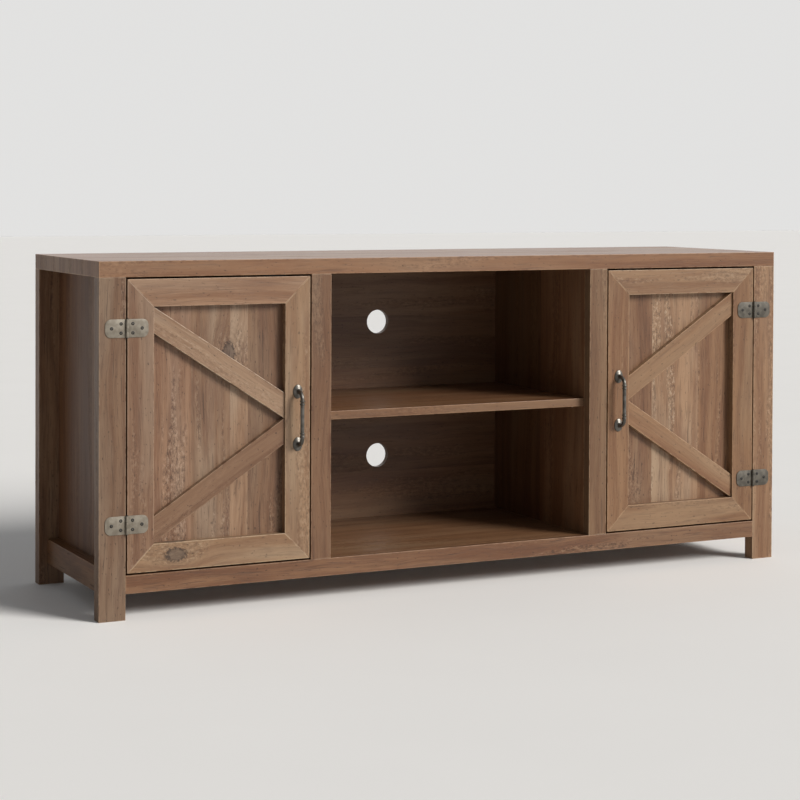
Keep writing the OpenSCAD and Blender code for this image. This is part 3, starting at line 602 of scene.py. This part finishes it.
# ---- Screws ----
# One pan head with a cross recess is drawn once. A small tree of nodes then sets a copy on every
# screw's place and turns each by chance, as a driver leaves them.
def cross_head(name, radius, height, facing):
    """A pan head whose face looks towards -Y (facing -1) or +Y (facing 1)."""
    arm, reach = radius * 0.16, radius * 0.55
    cross = [(arm, reach), (arm, arm), (reach, arm), (reach, -arm), (arm, -arm), (arm, -reach)]
    cross += [(-x, -z) for x, z in cross]
    dome = 0.55
    mesh = bmesh.new()

    def rise(x, z):
        return facing * height * (1 - dome * (math.hypot(x, z) / radius) ** 2)

    loops = []
    for share, flat in ((1.0, 0.0), (1.0, 0.30), (0.90, None), (0.72, None)):
        points = circle((0, 0), radius * share)
        depth = [rise(x, z) if flat is None else facing * height * flat for x, z in points]
        loops.append([mesh.verts.new((x, y, z)) for (x, z), y in zip(points, depth)])
    for low, high in zip(loops, loops[1:]):
        for k in range(ROUND_SIDES):
            after = (k + 1) % ROUND_SIDES
            mesh.faces.new((low[k], low[after], high[after], high[k]))
    rim = [mesh.verts.new((x, rise(x, z), z)) for x, z in cross]
    floor = [mesh.verts.new((x * 0.8, facing * height * 0.1, z * 0.8)) for x, z in cross]
    for k in range(len(cross)):
        after = (k + 1) % len(cross)
        mesh.faces.new((rim[k], rim[after], floor[after], floor[k]))
    mesh.faces.new(floor)
    edges = [mesh.edges.get((line[k], line[(k + 1) % len(line)]))
             for line in (rim, loops[-1]) for k in range(len(line))]
    bmesh.ops.triangle_fill(mesh, use_beauty=True, use_dissolve=False, edges=edges)
    mesh.faces.new(loops[0])
    bmesh.ops.recalc_face_normals(mesh, faces=mesh.faces[:])
    data = bpy.data.meshes.new(name)
    mesh.to_mesh(data)
    mesh.free()
    return bpy.data.objects.new(name, data)


def screw_tree():
    tree = bpy.data.node_groups.new("screws_on_places", "GeometryNodeTree")
    inputs = {}
    for name, kind in (("Places", "Geometry"), ("Head", "Object"), ("Chance", "Int"), ("Finish", "Material")):
        inputs[name] = tree.interface.new_socket(name, in_out="INPUT", socket_type="NodeSocket" + kind)
    tree.interface.new_socket("Screws", in_out="OUTPUT", socket_type="NodeSocketGeometry")
    add, link = tree.nodes.new, tree.links.new
    given, made = add("NodeGroupInput"), add("NodeGroupOutput")
    head = add("GeometryNodeObjectInfo")
    turn, spin = add("FunctionNodeRandomValue"), add("ShaderNodeCombineXYZ")
    copies = add("GeometryNodeInstanceOnPoints")
    real, paint = add("GeometryNodeRealizeInstances"), add("GeometryNodeSetMaterial")
    turn.data_type = "FLOAT"
    angles = [socket for socket in turn.inputs if socket.enabled and socket.name in ("Min", "Max")]
    angles[0].default_value, angles[1].default_value = 0.0, math.tau
    link(given.outputs["Head"], head.inputs["Object"])
    link(given.outputs["Chance"], turn.inputs["Seed"])
    link(next(socket for socket in turn.outputs if socket.enabled), spin.inputs["Y"])
    link(given.outputs["Places"], copies.inputs["Points"])
    link(head.outputs["Geometry"], copies.inputs["Instance"])
    link(spin.outputs["Vector"], copies.inputs["Rotation"])
    link(copies.outputs["Instances"], real.inputs["Geometry"])
    link(real.outputs["Geometry"], paint.inputs["Geometry"])
    link(given.outputs["Finish"], paint.inputs["Material"])
    link(paint.outputs["Geometry"], made.inputs["Screws"])
    return tree, {name: socket.identifier for name, socket in inputs.items()}


SCREW_TREE, SCREW_INPUTS = screw_tree()


def set_screws(name, places, head, material, seed, body, node):
    data = bpy.data.meshes.new(name + "_places")
    data.from_pydata([tuple(place) for place in places], [], [])
    holder = bpy.data.objects.new(name + "_places", data)
    bpy.context.scene.collection.objects.link(holder)
    modifier = holder.modifiers.new("screws", "NODES")
    modifier.node_group = SCREW_TREE
    for key, value in (("Head", head), ("Chance", seed), ("Finish", material)):
        modifier[SCREW_INPUTS[key]] = value
    bpy.context.view_layer.update()
    ready = holder.evaluated_get(bpy.context.evaluated_depsgraph_get())
    made = bpy.data.meshes.new_from_object(ready)
    made.name = name
    bpy.data.objects.remove(holder)
    hang_piece(name, made, body, [node])


LEAF_SCREWS = ((0.011, -0.0083), (0.011, 0.0083), (0.0285, 0.0))
HINGE_HEAD_RADIUS = 0.0031
HINGE_HEAD_RISE = 0.0009
HEAD_SINK = 0.0002
front_head = cross_head("hinge_screw_head", HINGE_HEAD_RADIUS, HINGE_HEAD_RISE + HEAD_SINK, -1)
post_places = []
for number, (side, hand) in enumerate((("left", -1), ("right", 1))):
    pin, face, centres = hinge_spots[side]
    surface = face - LEAF_THICKNESS + HEAD_SINK
    for centre in centres:
        post_places += [(pin.x + hand * x, surface, centre + z) for x, z in LEAF_SCREWS]
    door_places = [(pin.x - hand * x, surface, centre + z) for centre in centres for x, z in LEAF_SCREWS]
    set_screws("door_" + side + "_hinge_screw_heads", door_places, front_head, dark_steel, 3 + number,
               side + "_door", "door_" + side + "_hinge_screws")
set_screws("post_hinge_screw_heads", post_places, front_head, dark_steel, 11,
           "case", "hinge_post_screws")

# The screws of the back panels lie flush, in two columns at each partition, one at each post and
# a row along the floor
BACK_HEAD_RADIUS = 0.003
BACK_HEAD_RISE = 0.0008
HALF_COLUMN_GAP = 0.0042
FIRST_ABOVE_FLOOR = 0.025
SCREWS_UP = 5
back_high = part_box("back_screws")[1]
partition_low, partition_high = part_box("partition_right")
partition_middle = (partition_low[0] + partition_high[0]) / 2
columns = [partition_middle - HALF_COLUMN_GAP, partition_middle + HALF_COLUMN_GAP,
           back_high[0] - BACK_HEAD_RADIUS]
floor_low, floor_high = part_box("bottom_panel")[0][2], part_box("bottom_panel")[1][2]
first, last = floor_high + FIRST_ABOVE_FLOOR, back_high[2] - BACK_HEAD_RADIUS
heights = [first + k * (last - first) / (SCREWS_UP - 1) for k in range(SCREWS_UP)]
back_face = back_high[1] - BACK_HEAD_RISE
back_places = [(way * x, back_face, z) for way in (-1, 1) for x in columns for z in heights]
outer, inner = cad_box[1][0] * 2 / 3, partition_low[0] / 2
back_places += [(x, back_face, (floor_low + floor_high) / 2) for x in (-outer, -inner, 0.0, inner, outer)]
back_head = cross_head("back_screw_head", BACK_HEAD_RADIUS, BACK_HEAD_RISE, 1)
set_screws("back_screw_heads", back_places, back_head, zinc, 29, "case", "back_screws")


# ---- Handles ----
# A cast bar handle: an oval rosette at each end, a neck that bends into the bar, and two turned
# beads near each bend. It is one closed skin, drawn as rings along the bar. ROSETTE and BEAD are in
# millimetres: how far out and the two half widths, and how far along and how much the bar swells.
BEND_RADIUS = 0.014
HANDLE_REACH = 0.022
BAR_RADIUS = 0.0037
BAR_WAIST = 0.98
WAIST_FROM_MIDDLE = 0.010
BEADS_FROM_BEND = (0.002, 0.008)
BEND_STEPS = 8
ROSETTE = ((0.0, 9.5, 13.0), (-0.9, 9.5, 13.0), (-1.5, 9.1, 12.6), (-1.8, 8.3, 11.7), (-2.1, 7.9, 11.2),
           (-2.7, 6.9, 9.6), (-3.2, 5.7, 7.3), (-3.9, 4.7, 5.2), (-5.0, 4.0, 4.1), (-6.4, 3.7, 3.7))
BEAD = ((-1.7, 1.0), (-1.3, 1.14), (-0.7, 1.30), (0.0, 1.35), (0.7, 1.30), (1.3, 1.14), (1.7, 1.0))
for side in ("left", "right"):
    low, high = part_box("door_" + side + "_handle")
    centre_x, centre_z, back = (low[0] + high[0]) / 2, (low[2] + high[2]) / 2, high[1]
    half_span = (high[2] - low[2]) / 2 - ROSETTE[0][2] / 1000
    bar_half = half_span - BEND_RADIUS
    rings = [((y / 1000, half_span), (0, 1), a / 1000, b / 1000) for y, a, b in ROSETTE]
    bend_y = BEND_RADIUS - HANDLE_REACH
    for k in range(BEND_STEPS + 1):
        t = math.radians(90 * k / BEND_STEPS)
        spot = (bend_y - BEND_RADIUS * math.sin(t), bar_half + BEND_RADIUS * math.cos(t))
        rings.append((spot, (-math.sin(t), math.cos(t)), BAR_RADIUS, BAR_RADIUS))
    for from_bend in BEADS_FROM_BEND:
        for offset, swell in BEAD:
            spot = (-HANDLE_REACH, bar_half - from_bend - offset / 1000)
            rings.append((spot, (-1, 0), BAR_RADIUS * swell, BAR_RADIUS * swell))
    waist = BAR_RADIUS * BAR_WAIST
    rings.append(((-HANDLE_REACH, WAIST_FROM_MIDDLE), (-1, 0), waist, waist))
    rings += [((y, -z), (ny, -nz), a, b) for (y, z), (ny, nz), a, b in rings[::-1]]
    mesh = bmesh.new()
    turns = [math.tau * k / ROUND_SIDES for k in range(ROUND_SIDES)]
    loops = [[mesh.verts.new((centre_x + a * math.cos(t), back + y + ny * b * math.sin(t),
                              centre_z + z + nz * b * math.sin(t))) for t in turns]
             for (y, z), (ny, nz), a, b in rings]
    for first, second in zip(loops, loops[1:]):
        for k in range(ROUND_SIDES):
            after = (k + 1) % ROUND_SIDES
            mesh.faces.new((first[k], first[after], second[after], second[k]))
    mesh.faces.new(loops[0])
    mesh.faces.new(loops[-1])
    bmesh.ops.recalc_face_normals(mesh, faces=mesh.faces[:])
    finish_piece(mesh, "cast_handle_" + side, pewter, side + "_door",
                 ["door_" + side + "_handle"], smooth=True)


# ---- Floor and light ----
# A pale floor, one soft main light from the upper right in front, and a dim even surround that
# shows bright in gloss. A dark flag stands to the left, so what the boards mirror fades that way.
FLOOR_HALF = 25.0
pale = Finish("pale_floor")
mottle = pale.noise(pale.node("ShaderNodeTexCoord", out="Object"), 3.0, 2.0)
pale.surface(Base_Color=pale.mix(mottle, (0.865, 0.862, 0.855), (0.885, 0.882, 0.875)), Roughness=0.85)
mesh = bmesh.new()
bmesh.ops.create_grid(mesh, x_segments=8, y_segments=8, size=FLOOR_HALF)
data = bpy.data.meshes.new("floor")
mesh.to_mesh(data)
mesh.free()
data.materials.append(pale.material)
floor = bpy.data.objects.new("floor", data)
bpy.context.scene.collection.objects.link(floor)

KEY_SIDE, KEY_HEIGHT, KEY_SPREAD = math.radians(38), math.radians(30), math.radians(24)
KEY_STRENGTH = 3.75
key = bpy.data.objects.new("key_light", bpy.data.lights.new("key_light", "SUN"))
key.data.energy = KEY_STRENGTH
key.data.angle = KEY_SPREAD
key.data.color = (1.0, 0.97, 0.93)
flat = math.cos(KEY_HEIGHT)
towards = Vector((math.sin(KEY_SIDE) * flat, -math.cos(KEY_SIDE) * flat, math.sin(KEY_HEIGHT)))
key.rotation_mode = "QUATERNION"
key.rotation_quaternion = towards.to_track_quat("Z", "Y")
bpy.context.scene.collection.objects.link(key)

SURROUND_LIGHT, SURROUND_SEEN, SURROUND_GLOSS, FLAG_GLOSS = 0.19, 0.76, 1.30, 0.28
FLAG_FULL, FLAG_END = -0.35, 0.15
world = bpy.data.worlds.new("studio")
bpy.context.scene.world = world
world.use_nodes = True
sky, link = world.node_tree, world.node_tree.links.new
dim = sky.nodes["Background"]
dim.inputs["Color"].default_value = (0.97, 0.985, 1.0, 1.0)
dim.inputs["Strength"].default_value = SURROUND_LIGHT
bright, rays, choose, level, aim, apart, flag = (
    sky.nodes.new("ShaderNode" + kind)
    for kind in ("Background", "LightPath", "MixShader", "Mix", "TexCoord", "SeparateXYZ", "MapRange"))
bright.inputs["Color"].default_value = (1.0, 0.995, 0.985, 1.0)
fade = {"From Min": FLAG_FULL, "From Max": FLAG_END, "To Min": FLAG_GLOSS, "To Max": SURROUND_GLOSS}
for name, value in fade.items():
    flag.inputs[name].default_value = value
link(aim.outputs["Generated"], apart.inputs[0])
link(apart.outputs["X"], flag.inputs["Value"])
link(flag.outputs["Result"], level.inputs["A"])
level.inputs["B"].default_value = SURROUND_SEEN
link(rays.outputs["Is Camera Ray"], level.inputs["Factor"])
link(level.outputs["Result"], bright.inputs["Strength"])
link(rays.outputs["Is Diffuse Ray"], choose.inputs[0])
link(bright.outputs[0], choose.inputs[1])
link(dim.outputs[0], choose.inputs[2])
link(choose.outputs[0], sky.nodes["World Output"].inputs[0])
